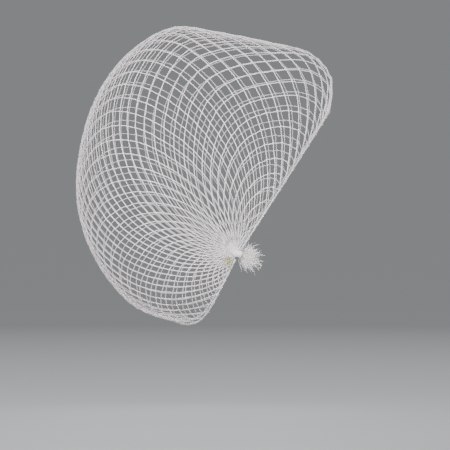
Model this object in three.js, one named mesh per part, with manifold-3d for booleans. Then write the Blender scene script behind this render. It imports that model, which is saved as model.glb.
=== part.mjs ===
// Hairnet: a hollow bag of diamond netting, shaped as it is worn. All its threads are gathered to a point
// beside each ear, end there in a tuft, and are held by an elastic along the forehead edge and one along
// the nape edge, knotted at the gathers.
// Millimetres. +X points to the forehead, +Y to the wearer's left ear, +Z up.
// The origin is the crown seat: the inside of the net at the top of the head.
import * as THREE from "three";
import { mergeVertices } from "three/addons/utils/BufferGeometryUtils.js";
import Module from "manifold-3d";

// The ear axis joins the two gathers. Everything is modelled round the middle of it.
const EAR_HALF_SPAN = 72;
const CROWN_BEHIND_EAR = 43;
const CROWN_ABOVE_EAR = 170.6;

// The netting: a coarse lattice, each bar standing for a few neighbouring threads.
const WALL = 1.2;
const BAR_WIDTH = 2.6;
const GAP_WIDTH = 21.5;
const ROWS = 14;
const COLUMNS = 18;
const RIDGE_CROWDING = 1.2;

// The gathers: the netting is bunched to a web with pleats, which runs into a round bundle.
const WEB_REACH = 10;
const EYE_RADIUS = 2.6;
const EYE_RISE = 0.8;
const PLEAT_HEIGHT = 1.1;
const BUNDLE = { radius: 3, neck: 2.3, back: 4.5, front: 4 };
const BUNDLE_DIP = 0.24;
const BUNDLE_SIDES = 12;

// The tufts of cut thread ends, lying forward of each bundle.
const TUFT_HEAD = { radius: 2.8, length: 3 };
const LOCK = { root: 1.2, belly: 1.8, tip: 0.4, droop: 1.6 };
const LOCK_SIDES = 7;

const ELASTIC_RADIUS = 0.8;
const ELASTIC_GAP = 0.4;
const ELASTIC_STEPS = 52;
const ELASTIC_SIDES = 8;
const ELASTIC_END_ROW = 0.5;

const KNOT = { scale: 0.8, strand: 0.55, reach: 8, turn: 217, lift: 3.7 };
const KNOT_TAIL = { opening: 0.4, length: 2.2, spread: 0.15 };
const KNOT_STEPS = 40;
const KNOT_SIDES = 6;

const GAP = 0.3;

// Sections through the ear axis, from the forehead edge over the crown to the nape edge.
// forward and up place the section's middle from the ear axis. fullness is 2 for an ellipse and more for
// a squarer form. swell is how far its sides stand out past the ears, and sweep turns its ends (degrees).
const SECTIONS = [
  { name: "forehead_edge", forward: 70.7, up: 107.9, fullness: 2.2, swell: 2, sweep: 0 },
  { name: "fringe", forward: 72.6, up: 131, fullness: 2.25, swell: 5, sweep: 0 },
  { name: "forelock", forward: 58, up: 149.5, fullness: 2.35, swell: 10, sweep: 0 },
  { name: "top_front", forward: 22, up: 159.3, fullness: 2.4, swell: 14, sweep: 0 },
  { name: "top", forward: -14, up: 166.3, fullness: 2.4, swell: 17, sweep: 0 },
  { name: "crown", forward: -47, up: 170, fullness: 2.4, swell: 18, sweep: 0 },
  { name: "crown_back", forward: -79, up: 152.5, fullness: 2.35, swell: 18, sweep: 0 },
  { name: "back_high", forward: -104, up: 121, fullness: 2.3, swell: 18, sweep: 0 },
  { name: "back", forward: -118.5, up: 76, fullness: 2.25, swell: 16, sweep: 0 },
  { name: "back_low", forward: -119.5, up: 32, fullness: 2.2, swell: 13, sweep: 0.8 },
  { name: "nape_high", forward: -105, up: -8, fullness: 2.15, swell: 9, sweep: 3 },
  { name: "nape", forward: -78, up: -40, fullness: 2.1, swell: 4, sweep: 8.5 },
  { name: "nape_edge", forward: -47, up: -52, fullness: 2, swell: 0, sweep: 15.5 },
];

// The locks of a tuft: turn from straight ahead (upwards is positive) and lean away from the cheek, in degrees.
const LOCKS = [
  { turn: 62, lean: 4, length: 11.5 },
  { turn: 36, lean: 8, length: 13.5 },
  { turn: 12, lean: 4, length: 15.5 },
  { turn: -12, lean: 8, length: 15.5 },
  { turn: -34, lean: 4, length: 13.5 },
  { turn: -56, lean: 8, length: 11 },
  { turn: -80, lean: 4, length: 9 },
  { turn: 24, lean: 38, length: 11 },
  { turn: -14, lean: 42, length: 12 },
  { turn: -46, lean: 38, length: 10.5 },
];

const THREAD_FINISH = { color: 0xe8e1df, roughness: 0.7, metalness: 0 };
const ELASTIC_FINISH = { color: 0xd9d8d8, roughness: 0.55, metalness: 0 };
const LATEX_FINISH = { color: 0xc8c28a, roughness: 0.45, metalness: 0 };

const wasm = await Module();
wasm.setup();

function toSolid(geometry) {
  const bare = geometry.clone();
  bare.deleteAttribute("normal");
  bare.deleteAttribute("uv");
  const merged = mergeVertices(bare, 1e-4);
  const vertProperties = new Float32Array(merged.getAttribute("position").array);
  const triVerts = new Uint32Array(merged.index.array);
  return new wasm.Manifold(new wasm.Mesh({ numProp: 3, vertProperties, triVerts }));
}

function toGeometry(solid) {
  const { vertProperties, triVerts } = solid.getMesh();
  const geometry = new THREE.BufferGeometry();
  geometry.setAttribute("position", new THREE.BufferAttribute(vertProperties, 3));
  geometry.setIndex(new THREE.BufferAttribute(triVerts, 1));
  geometry.computeVertexNormals();
  return geometry;
}

function namedMesh(name, geometry, finish) {
  const mesh = new THREE.Mesh(geometry, new THREE.MeshStandardMaterial(finish));
  mesh.name = name;
  return mesh;
}

// The form: smooth curves through the sections' middles and through their profile values.
const ridge = new THREE.CatmullRomCurve3(
  SECTIONS.map((s) => new THREE.Vector3(s.forward, 0, s.up)), false, "centripetal");
const profiles = new THREE.CatmullRomCurve3(
  SECTIONS.map((s) => new THREE.Vector3(s.fullness, s.swell, s.sweep)), false, "catmullrom", 0.5);

// A section of the form. along runs from the forehead edge (0) to the nape edge (1), by length over the crown.
function sectionAt(along) {
  const t = ridge.getUtoTmapping(THREE.MathUtils.clamp(along, 0, 1));
  const middle = ridge.getPoint(t);
  const profile = profiles.getPoint(t);
  const reach = Math.hypot(middle.x, middle.z);
  const power = 2 / profile.x;
  const firstTurn = Math.asin((WEB_REACH / reach) ** (1 / power));
  const sweep = THREE.MathUtils.degToRad(profile.z);
  return { reach, angle: Math.atan2(middle.z, middle.x), power, swell: profile.y, sweep, firstTurn };
}

// A point of a section. turn runs from the gather (0) to the middle of the head (a quarter turn).
// side is -1 on the wearer's right and 1 on the left.
function sectionPoint({ reach, angle, power, swell, sweep }, turn, side) {
  const away = reach * Math.sin(turn) ** power;
  const heading = angle + sweep * (1 - Math.sin(turn) ** 8);
  const width = EAR_HALF_SPAN * Math.max(Math.cos(turn), 0) ** power + swell * Math.sin(2 * turn);
  return new THREE.Vector3(away * Math.cos(heading), side * width, away * Math.sin(heading));
}

// Rows of the lattice run from the right gather (0) to the left one (ROWS), columns from the forehead back.
// Row -1 and row ROWS + 1 are the rims of the two eyes, where the web meets the bundle.
function latticePoint(row, column) {
  const side = row <= ROWS / 2 ? -1 : 1;
  const fromEar = (side < 0 ? row : ROWS - row) / (ROWS / 2);
  const section = sectionAt(column / COLUMNS);
  if (fromEar < 0) {
    const web = sectionPoint(section, section.firstTurn, side);
    const share = -fromEar * (ROWS / 2);
    const eye = new THREE.Vector3(web.x, 0, web.z).setLength(EYE_RADIUS);
    eye.y = side * (EAR_HALF_SPAN + EYE_RISE);
    return web.lerp(eye, share);
  }
  const eased = 1 - (1 - fromEar) ** RIDGE_CROWDING;
  return sectionPoint(section, THREE.MathUtils.lerp(section.firstTurn, Math.PI / 2, eased), side);
}

function alongRow(row, column) {
  const step = 0.02;
  const low = Math.max(column - step, 0);
  const high = Math.min(column + step, COLUMNS);
  return latticePoint(row, high).sub(latticePoint(row, low)).normalize();
}

function acrossRow(row, column) {
  const step = 0.02;
  return latticePoint(row + step, column).sub(latticePoint(row - step, column)).normalize();
}

function latticeNormal(row, column) {
  return acrossRow(row, column).cross(alongRow(row, column)).normalize();
}

// The outline of a diamond of the lattice round a middle, anticlockwise from outside.
function diamond(row, column) {
  return [
    [row + 1, column], [row + 0.5, column + 0.5], [row, column + 1], [row - 0.5, column + 0.5],
    [row - 1, column], [row - 0.5, column - 0.5], [row, column - 1], [row + 0.5, column - 0.5],
  ];
}

// Half a diamond on the forehead edge (inward 1) or the nape edge (inward -1).
function halfDiamond(row, column, inward) {
  const base = [[row - 1, column], [row - 0.5, column], [row, column], [row + 0.5, column], [row + 1, column]];
  const sides = [
    [row + 0.5, column + 0.5 * inward], [row, column + inward], [row - 0.5, column + 0.5 * inward]];
  const outline = [...base, ...sides];
  return inward > 0 ? outline : outline.reverse();
}

// The netting as an open sheet of faces, with a hole left in every cell. Faces list corner numbers,
// and a corner holds its place on the form and the direction out of the head.
function nettingSheet() {
  const corners = [];
  const faces = [];
  const numbers = new Map();
  const addCorner = (row, column, lift = 0) => {
    const normal = latticeNormal(row, column);
    corners.push({ place: latticePoint(row, column).addScaledVector(normal, lift), normal });
    return corners.length - 1;
  };
  const cornerAt = (row, column) => {
    const key = `${row},${column}`;
    const pleat = (row === 0 || row === ROWS) && column % 2 === 1 ? PLEAT_HEIGHT : 0;
    if (!numbers.has(key)) numbers.set(key, addCorner(row, column, pleat));
    return numbers.get(key);
  };
  const addCell = (outline, middle) => {
    const rim = outline.map(([row, column]) => cornerAt(row, column));
    const centre = latticePoint(...middle);
    const sideAway = rim.map((number, k) => {
      const line = new THREE.Line3(corners[number].place, corners[rim[(k + 1) % rim.length]].place);
      return line.closestPointToPoint(centre, true, new THREE.Vector3()).distanceTo(centre);
    });
    const half = Math.min(...sideAway);
    const scale = Math.max(Math.min(half - BAR_WIDTH / 2, GAP_WIDTH / 2) / half, 0.3);
    const hole = outline.map(([row, column]) =>
      addCorner(middle[0] + (row - middle[0]) * scale, middle[1] + (column - middle[1]) * scale));
    rim.forEach((number, k) => {
      const next = (k + 1) % rim.length;
      faces.push([number, rim[next], hole[next], hole[k]]);
    });
  };
  const edgeHoleInset = 0.4;
  for (let row = 1; row < ROWS; row++) {
    for (let column = 1; column < COLUMNS; column++) {
      if ((row + column) % 2 === 1) addCell(diamond(row, column), [row, column]);
    }
    if (row % 2 === 1) {
      addCell(halfDiamond(row, 0, 1), [row, edgeHoleInset]);
      addCell(halfDiamond(row, COLUMNS, -1), [row, COLUMNS - edgeHoleInset]);
    }
  }
  addWeb(0, -1, cornerAt, faces);
  addWeb(ROWS, ROWS + 1, cornerAt, faces);
  return { corners, faces };
}

// The pleated web of a gather: closed between the first knots, and on to the eye.
function addWeb(row, eyeRow, cornerAt, faces) {
  const inward = Math.sign(row - eyeRow);
  const add = (face) => faces.push(inward > 0 ? face : face.reverse());
  for (let column = 0; column < COLUMNS; column++) {
    add([cornerAt(eyeRow, column), cornerAt(row, column), cornerAt(row, column + 1), cornerAt(eyeRow, column + 1)]);
  }
  for (let column = 1; column < COLUMNS; column += 2) {
    const fan = [
      cornerAt(row, column - 1), cornerAt(row + 0.5 * inward, column - 0.5), cornerAt(row + inward, column),
      cornerAt(row + 0.5 * inward, column + 0.5), cornerAt(row, column + 1)];
    for (let k = 0; k + 1 < fan.length; k++) add([cornerAt(row, column), fan[k], fan[k + 1]]);
  }
}

// Gives a sheet its wall: an outer and an inner skin, joined along every free edge.
function thicken({ corners, faces }, wall) {
  const positions = [];
  for (const { place, normal } of corners) {
    for (const half of [wall / 2, -wall / 2]) {
      positions.push(...place.clone().addScaledVector(normal, half).toArray());
    }
  }
  const index = [];
  const addFace = (face) => {
    for (let k = 1; k + 1 < face.length; k++) index.push(face[0], face[k], face[k + 1]);
  };
  const outer = (number) => 2 * number;
  const inner = (number) => 2 * number + 1;
  const edges = new Set();
  for (const face of faces) {
    addFace(face.map(outer));
    addFace(face.map(inner).reverse());
    face.forEach((number, k) => edges.add(`${number},${face[(k + 1) % face.length]}`));
  }
  for (const edge of edges) {
    const [a, b] = edge.split(",").map(Number);
    if (!edges.has(`${b},${a}`)) addFace([outer(b), outer(a), inner(a), inner(b)]);
  }
  const geometry = new THREE.BufferGeometry();
  geometry.setAttribute("position", new THREE.Float32BufferAttribute(positions, 3));
  geometry.setIndex(index);
  return geometry;
}

// The directions at a gather: ahead along the bundle, up across it, and out from the cheek.
function gatherFrame(side) {
  const ahead = new THREE.Vector3(1, 0, -BUNDLE_DIP).normalize();
  const out = new THREE.Vector3(0, side, 0);
  const up = new THREE.Vector3(BUNDLE_DIP, 0, 1).normalize();
  const place = new THREE.Vector3(0, side * (EAR_HALF_SPAN + EYE_RISE), 0);
  return { ahead, out, up, place };
}

// A turned piece whose profile runs along a direction from a place.
function turnedAlong(profile, sides, direction, place) {
  const geometry = new THREE.LatheGeometry(profile.map(([r, y]) => new THREE.Vector2(r, y)), sides);
  const spin = new THREE.Quaternion().setFromUnitVectors(new THREE.Vector3(0, 1, 0), direction);
  return geometry.applyQuaternion(spin).translate(place.x, place.y, place.z);
}

function bundle(side) {
  const { ahead, place } = gatherFrame(side);
  const profile = [
    [0, -BUNDLE.back], [0.6 * BUNDLE.radius, -0.85 * BUNDLE.back], [BUNDLE.radius, -0.3 * BUNDLE.back],
    [BUNDLE.radius, 0.2 * BUNDLE.front], [BUNDLE.neck, 0.7 * BUNDLE.front], [BUNDLE.neck, BUNDLE.front],
    [0, BUNDLE.front]];
  return turnedAlong(profile, BUNDLE_SIDES, ahead, place);
}

function net() {
  let solid = toSolid(thicken(nettingSheet(), WALL));
  for (const side of [-1, 1]) solid = solid.add(toSolid(bundle(side)));
  return namedMesh("net", toGeometry(solid), THREAD_FINISH);
}

// One lock of a tuft: a spindle that droops towards its tip.
function lock({ turn, lean, length }, { ahead, up, out }, root) {
  const profile = [
    [0, 0], [LOCK.root, 0.04 * length], [LOCK.belly, 0.4 * length], [0.75 * LOCK.belly, 0.7 * length],
    [LOCK.tip, length], [0, length]];
  const turned = THREE.MathUtils.degToRad(turn);
  const leaned = THREE.MathUtils.degToRad(lean);
  const direction = ahead.clone().multiplyScalar(Math.cos(turned)).addScaledVector(up, Math.sin(turned))
    .multiplyScalar(Math.cos(leaned)).addScaledVector(out, Math.sin(leaned));
  const geometry = turnedAlong(profile, LOCK_SIDES, direction, root);
  const position = geometry.getAttribute("position");
  const point = new THREE.Vector3();
  for (let k = 0; k < position.count; k++) {
    point.fromBufferAttribute(position, k);
    const share = point.distanceTo(root) / length;
    position.setZ(k, point.z - LOCK.droop * share * share);
  }
  return geometry;
}

function tuft(name, side) {
  const frame = gatherFrame(side);
  const start = frame.place.clone().addScaledVector(frame.ahead, BUNDLE.front + GAP);
  const profile = [
    [0, 0], [BUNDLE.neck, 0], [TUFT_HEAD.radius, 0.5 * TUFT_HEAD.length],
    [0.6 * TUFT_HEAD.radius, TUFT_HEAD.length], [0, TUFT_HEAD.length]];
  let solid = toSolid(turnedAlong(profile, BUNDLE_SIDES, frame.ahead, start));
  const root = start.clone().addScaledVector(frame.ahead, 0.55 * TUFT_HEAD.length);
  for (const row of LOCKS) solid = solid.add(toSolid(lock(row, frame, root)));
  return namedMesh(name, toGeometry(solid), THREAD_FINISH);
}

function roundSection(radius, sides) {
  const corners = Array.from({ length: sides }, (_, k) => {
    const angle = (2 * Math.PI * k) / sides;
    return new THREE.Vector2(radius * Math.cos(angle), radius * Math.sin(angle));
  });
  return new THREE.Shape(corners);
}

// An elastic runs beside the netting's edge, from one gather to the other.
function elastic(name, column, outward) {
  const points = [];
  const first = -ELASTIC_END_ROW;
  const last = ROWS + ELASTIC_END_ROW;
  for (let k = 0; k <= ELASTIC_STEPS; k++) {
    const row = first + ((last - first) * k) / ELASTIC_STEPS;
    const aside = latticeNormal(row, column).cross(acrossRow(row, column));
    points.push(latticePoint(row, column).addScaledVector(aside, outward * (ELASTIC_RADIUS + ELASTIC_GAP)));
  }
  const path = new THREE.CatmullRomCurve3(points);
  const geometry = new THREE.ExtrudeGeometry(roundSection(ELASTIC_RADIUS, ELASTIC_SIDES), {
    steps: ELASTIC_STEPS, bevelEnabled: false, extrudePath: path });
  return namedMesh(name, geometry, ELASTIC_FINISH);
}

// The overhand knot where the elastics are tied at a gather: an open trefoil lying flat on the web, with its
// two cut ends hanging below it.
function knotPath() {
  const points = [];
  for (let k = 0; k <= KNOT_STEPS; k++) {
    const a = Math.PI + THREE.MathUtils.lerp(KNOT_TAIL.opening, 2 * Math.PI - KNOT_TAIL.opening, k / KNOT_STEPS);
    points.push(new THREE.Vector3(
      Math.sin(a) + 2 * Math.sin(2 * a), -Math.sin(3 * a), Math.cos(a) - 2 * Math.cos(2 * a),
    ).multiplyScalar(KNOT.scale));
  }
  const tailEnd = (root, aside) => root.clone().add(new THREE.Vector3(aside, 0, -KNOT_TAIL.length));
  const first = tailEnd(points[0], KNOT_TAIL.spread);
  const last = tailEnd(points[KNOT_STEPS], -KNOT_TAIL.spread);
  return new THREE.CatmullRomCurve3([first, ...points, last]);
}

function elasticKnot(name, side) {
  const geometry = new THREE.ExtrudeGeometry(roundSection(KNOT.strand, KNOT_SIDES), {
    steps: KNOT_STEPS, bevelEnabled: false, extrudePath: knotPath() });
  const angle = THREE.MathUtils.degToRad(KNOT.turn);
  const mesh = namedMesh(name, geometry, LATEX_FINISH);
  mesh.position.set(
    KNOT.reach * Math.cos(angle), side * (EAR_HALF_SPAN + KNOT.lift), KNOT.reach * Math.sin(angle));
  return mesh;
}

const headFrame = new THREE.Group();
headFrame.position.set(CROWN_BEHIND_EAR, 0, WALL / 2 - CROWN_ABOVE_EAR);
headFrame.add(
  net(),
  elastic("front_elastic", 0, -1),
  elastic("nape_elastic", COLUMNS, 1),
  tuft("tuft_right", -1),
  tuft("tuft_left", 1),
  elasticKnot("elastic_knot_right", -1),
  elasticKnot("elastic_knot_left", 1),
);

const hairnet = new THREE.Group();
hairnet.add(headFrame);

export default hairnet;
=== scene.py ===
import math

import bpy
import numpy as np
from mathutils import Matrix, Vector


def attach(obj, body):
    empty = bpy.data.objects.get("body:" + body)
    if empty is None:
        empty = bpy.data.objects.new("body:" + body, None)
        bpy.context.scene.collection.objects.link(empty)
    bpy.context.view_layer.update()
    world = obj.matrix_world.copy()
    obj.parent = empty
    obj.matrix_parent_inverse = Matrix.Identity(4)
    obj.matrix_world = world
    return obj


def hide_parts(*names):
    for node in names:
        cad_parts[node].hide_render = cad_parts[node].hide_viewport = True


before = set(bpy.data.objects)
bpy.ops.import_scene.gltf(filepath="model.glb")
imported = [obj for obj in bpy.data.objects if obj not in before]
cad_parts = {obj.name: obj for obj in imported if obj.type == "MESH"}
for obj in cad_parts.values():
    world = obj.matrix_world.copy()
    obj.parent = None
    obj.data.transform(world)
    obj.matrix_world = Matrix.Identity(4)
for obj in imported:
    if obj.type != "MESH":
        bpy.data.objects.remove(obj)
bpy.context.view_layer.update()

print("frame loaded, nodes:", ", ".join(sorted(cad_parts)))

mm = 0.001
quarter = math.pi / 2
tiny = 1e-9  # keeps a division from failing
gatherMiddle = np.array([43.0, 0.0, -170.0])  # midway between the two gathers, from the crown seat


# camera and studio

camera = {"place": (0.03464, -1.5, -0.14948), "lens": 157.9, "sensor": 36.0}
studio = {
    "floorHeight": -0.3068,
    "floorRadius": 2.1,
    "wallRadius": 3.2,
    "wallHeight": 3.2,
    "innerRadius": 0.001,
    "floorSteps": 6,
    "bendSteps": 40,
    "spokes": 96,
    "pale": (0.42, 0.43, 0.44),     # glow of the floor under the net
    "grey": (0.205, 0.212, 0.22),   # and of the wall behind it
    "fade": (0.35, 1.6),            # how far out the one becomes the other
    "paper": ((0.082, 0.084, 0.086), (0.09, 0.092, 0.094)),
    "fleckNoise": (5.0, 2.0),
}
lamps = [  # name, place, aim, size, watts
    ("frontHighLeft", (-0.09, -0.26, 0.02), (-0.02, 0.0, -0.06), 0.07, 0.85),
    ("frontHighRight", (0.13, -0.26, 0.0), (0.06, 0.0, -0.08), 0.07, 0.6),
    ("frontLowLeft", (-0.07, -0.26, -0.16), (-0.02, 0.0, -0.13), 0.07, 0.5),
    ("frontLowRight", (0.09, -0.26, -0.16), (0.04, 0.0, -0.13), 0.07, 0.32),
    ("backHighLeft", (-0.09, 0.26, 0.02), (-0.02, 0.0, -0.06), 0.07, 0.7),
    ("backHighRight", (0.13, 0.26, 0.0), (0.06, 0.0, -0.08), 0.07, 0.5),
    ("backLowLeft", (-0.07, 0.26, -0.16), (-0.02, 0.0, -0.13), 0.07, 0.4),
    ("backLowRight", (0.09, 0.26, -0.16), (0.04, 0.0, -0.13), 0.07, 0.28),
    ("topBox", (0.0, 0.0, 0.6), (0.0, 0.0, -0.1), 0.4, 4.0),
]
air = 0.15  # light from all round


def link(thing):
    bpy.context.scene.collection.objects.link(thing)
    return thing


def makeCamera():
    data = bpy.data.cameras.new("photoCamera")
    data.sensor_width = camera["sensor"]
    data.lens = camera["lens"]
    seat = link(bpy.data.objects.new("photoCamera", data))
    seat.location = camera["place"]
    seat.rotation_euler = (quarter, 0, 0)  # level, looking along +Y
    bpy.context.scene.camera = seat


def makeLamp(name, place, aim, size, watts):
    data = bpy.data.lights.new(name, "AREA")
    data.shape = "DISK"
    data.size = size
    data.energy = watts
    lamp = link(bpy.data.objects.new(name, data))
    lamp.location = place
    lamp.rotation_euler = (Vector(aim) - Vector(place)).to_track_quat("-Z", "Y").to_euler()
    lamp.visible_camera = False


def makeLamps():
    for lamp in lamps:
        makeLamp(*lamp)
    world = bpy.data.worlds.new("studioAir")
    world.use_nodes = True
    background = world.node_tree.nodes["Background"]
    background.inputs["Color"].default_value = (1, 1, 1, 1)
    background.inputs["Strength"].default_value = air
    bpy.context.scene.world = world


makeCamera()
makeLamps()
print("camera and lamps set")


# finishes: shader sums written as Python, one node method

class Term:
    def __init__(self, finish, socket):
        self.finish = finish
        self.socket = socket

    def sum(self, operation, *terms):
        return self.finish.node("ShaderNodeMath", {"operation": operation}, dict(enumerate(terms)))

    def __add__(self, other):
        return self.sum("ADD", self, other)

    def __radd__(self, other):
        return self.sum("ADD", other, self)

    def __sub__(self, other):
        return self.sum("SUBTRACT", self, other)

    def __rsub__(self, other):
        return self.sum("SUBTRACT", other, self)

    def __mul__(self, other):
        return self.sum("MULTIPLY", self, other)

    def __rmul__(self, other):
        return self.sum("MULTIPLY", other, self)

    def sine(self):
        return self.sum("SINE", self)

    def cosine(self):
        return self.sum("COSINE", self)


noiseSpan = {"blotch": (0.35, 0.65), "rough": (0.3, 0.7)}  # noise values that count as least and most


class Finish:
    def __init__(self, name, **constants):
        self.material = bpy.data.materials.new(name)
        self.material.use_nodes = True
        self.nodes = self.material.node_tree.nodes
        self.links = self.material.node_tree.links
        self.shader = self.nodes["Principled BSDF"]
        for label, value in constants.items():
            self.shader.inputs[label.replace("_", " ")].default_value = value

    def socketOf(self, sockets, key):
        if isinstance(key, int):
            return sockets[key]
        return next(s for s in sockets if s.identifier == key or s.name == key)

    def node(self, kind, settings=None, sockets=None, out=0):
        made = self.nodes.new(kind)
        for label, value in (settings or {}).items():
            setattr(made, label, value)
        for key, value in (sockets or {}).items():
            socket = self.socketOf(made.inputs, key)
            if isinstance(value, Term):
                self.links.new(value.socket, socket)
            else:
                socket.default_value = value
        return Term(self, self.socketOf(made.outputs, out))

    def attribute(self, name, out="Fac"):
        return self.node("ShaderNodeAttribute", {"attribute_name": name}, out=out)

    def part(self, vector, axis):
        return self.node("ShaderNodeSeparateXYZ", {}, {"Vector": vector}, out=axis)

    def place(self):
        return self.node("ShaderNodeTexCoord", out="Object")

    def noise(self, scale, detail, roughness=0.5):
        return self.node("ShaderNodeTexNoise", {}, {
            "Vector": self.place(), "Scale": scale, "Detail": detail, "Roughness": roughness},
            out="Fac")

    def mix(self, share, first, second, blend="MIX"):
        return self.node("ShaderNodeMix", {"data_type": "RGBA", "blend_type": blend}, {
            "Factor_Float": share,
            "A_Color": first if isinstance(first, Term) else (*first, 1),
            "B_Color": second if isinstance(second, Term) else (*second, 1)}, out="Result_Color")

    def remap(self, value, low, high, newLow, newHigh):
        return self.node("ShaderNodeMapRange", {"clamp": True}, {
            "Value": value, "From Min": low, "From Max": high, "To Min": newLow, "To Max": newHigh})

    def feed(self, label, term):
        self.links.new(term.socket, self.shader.inputs[label])

    def blotch(self, noise):
        return self.remap(noise, *noiseSpan["blotch"], 0.0, 1.0)

    def roughen(self, noise, least, most):
        self.feed("Roughness", self.remap(noise, *noiseSpan["rough"], least, most))

    def emboss(self, height, depth, strength):
        bump = {"Height": height, "Distance": depth * mm, "Strength": strength}
        self.feed("Normal", self.node("ShaderNodeBump", {}, bump, out="Normal"))

    # plies also masks the painted shade in the grooves of the thread and elastic finishes
    def plies(self, pitch):  # 0 in the grooves of a twisted thread and 1 on its plies
        rim = self.attribute("rim", "Vector")
        turn = self.attribute("along") * (2 * math.pi / (pitch * mm))
        wave = self.part(rim, "X") * turn.cosine() + self.part(rim, "Y") * turn.sine()
        return wave * wave


threadLook = {  # white spun nylon, faintly pink
    "pitch": 1.5,
    "driftNoise": (38.0, 3.0),     # scale, detail
    "speckNoise": (1400.0, 2.0),
    "whites": ((0.86, 0.81, 0.80), (0.80, 0.775, 0.775)),
    # painted shade: the colour multiplied into the thread in the grooves between its plies
    "grooveShade": (0.66, 0.63, 0.64),
    "speck": (0.9, 0.87, 0.86),
    "speckSpan": (0.55, 0.8, 0.0, 0.35),
    "rough": (0.54, 0.76),
    "relief": (0.8, 0.2),          # of the plies and of the specks
    "bump": (0.12, 0.9),           # depth, strength
}


def makeThreadFinish():
    look = threadLook
    made = Finish("netThread", Roughness=0.62, Sheen_Weight=0.25, Sheen_Roughness=0.45,
                  Specular_IOR_Level=0.4)
    plies = made.plies(look["pitch"])
    drift = made.noise(*look["driftNoise"])
    speck = made.noise(*look["speckNoise"])
    white = made.mix(made.blotch(drift), *look["whites"])
    # painted shade: the white is darkened in the grooves between the plies
    grooveShaded = made.mix(1 - plies, white, look["grooveShade"], "MULTIPLY")
    made.feed("Base Color", made.mix(made.remap(speck, *look["speckSpan"]), grooveShaded, look["speck"]))
    made.roughen(speck, *look["rough"])
    made.emboss(plies * look["relief"][0] + speck * look["relief"][1], *look["bump"])
    return made.material


elasticLook = {  # rubber core under a grey-white covering thread
    "pitch": 0.9,
    "driftNoise": (60.0, 3.0),
    "covers": ((0.70, 0.69, 0.69), (0.62, 0.615, 0.62)),
    "cores": ((0.52, 0.50, 0.46), (0.46, 0.45, 0.43)),
    # painted shade in the grooves between the cover's turns: its colour, and how much of it
    "grooveShade": (0.72, 0.70, 0.70),
    "grooveShadeShare": 0.6,
    "rough": (0.44, 0.62),
    "bump": (0.07, 0.8),
}


def makeElasticFinish():
    look = elasticLook
    made = Finish("coveredElastic", Roughness=0.5, Sheen_Weight=0.12, Sheen_Roughness=0.4,
                  Specular_IOR_Level=0.45)
    plies = made.plies(look["pitch"])
    drift = made.noise(*look["driftNoise"])
    cover = made.mix(made.blotch(drift), *look["covers"])
    core = made.mix(drift, *look["cores"])
    cord = made.mix(made.attribute("mark"), core, cover)
    # painted shade: the cord is darkened in the grooves of its wrap
    grooves = (1 - plies) * look["grooveShadeShare"]
    made.feed("Base Color", made.mix(grooves, cord, look["grooveShade"], "MULTIPLY"))
    made.roughen(drift, *look["rough"])
    made.emboss(plies, *look["bump"])
    return made.material


tuftLook = {  # loose cut ends, each fibre a little different
    "streakNoise": (900.0, 2.0),
    "fibres": ((0.52, 0.495, 0.49), (0.90, 0.865, 0.855)),
    # painted shade: fibres are coloured darker near their roots, inside the tuft
    "root": (0.42, 0.395, 0.39),
    "rootShadeShare": 0.75,
    "rootShadeSpan": (1.5, 8.0),        # along the fibre
    "streak": (0.66, 0.63, 0.62),
    "streakShare": 0.18,
    "rough": (0.66, 0.86),
    "bump": (0.05, 0.6),
}


def makeTuftFinish():
    look = tuftLook
    made = Finish("tuftFibre", Roughness=0.75, Sheen_Weight=0.35, Sheen_Roughness=0.5,
                  Specular_IOR_Level=0.35)
    streak = made.noise(*look["streakNoise"])
    fibre = made.mix(made.attribute("mark"), *look["fibres"])
    near, far = look["rootShadeSpan"]
    # painted shade, strongest near the root and gone by 8 mm out along the fibre
    root = made.remap(made.attribute("along"), near * mm, far * mm, look["rootShadeShare"], 0.0)
    rootShaded = made.mix(root, fibre, look["root"])
    made.feed("Base Color", made.mix(streak * look["streakShare"], rootShaded, look["streak"]))
    made.roughen(streak, *look["rough"])
    made.emboss(streak, *look["bump"])
    return made.material


latexLook = {  # bare olive-yellow latex, dusty where it is stretched
    "cloudNoise": (420.0, 4.0, 0.6),   # scale, detail, roughness
    "grainNoise": (2600.0, 3.0),
    "rubbers": ((0.27, 0.245, 0.10), (0.35, 0.325, 0.16)),
    "dust": (0.45, 0.43, 0.29),
    "dustSpan": (0.5, 0.8, 0.0, 0.5),
    "rough": (0.34, 0.58),
    "relief": (0.7, 0.3),              # of the clouds and of the grain
    "bump": (0.08, 0.7),
}


def makeLatexFinish():
    look = latexLook
    made = Finish("latexKnot", Roughness=0.42, Specular_IOR_Level=0.5)
    cloud = made.noise(*look["cloudNoise"])
    grain = made.noise(*look["grainNoise"])
    rubber = made.mix(made.blotch(cloud), *look["rubbers"])
    made.feed("Base Color", made.mix(made.remap(grain, *look["dustSpan"]), rubber, look["dust"]))
    made.roughen(grain, *look["rough"])
    made.emboss(cloud * look["relief"][0] + grain * look["relief"][1], *look["bump"])
    return made.material


def makeStudioFinish():  # pale seamless paper, lit through as a light tent is
    made = Finish("studioPaper", Roughness=0.9, Specular_IOR_Level=0.1, Emission_Strength=1.0)
    flat = made.node("ShaderNodeVectorMath", {"operation": "MULTIPLY"}, {0: made.place(), 1: (1, 1, 0)})
    away = made.node("ShaderNodeVectorMath", {"operation": "LENGTH"}, {0: flat}, out="Value")
    fade = made.remap(away, *studio["fade"], 0.0, 1.0)
    made.feed("Emission Color", made.mix(fade, studio["pale"], studio["grey"]))
    fleck = made.noise(*studio["fleckNoise"])
    made.feed("Base Color", made.mix(fleck, *studio["paper"]))
    return made.material


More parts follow.
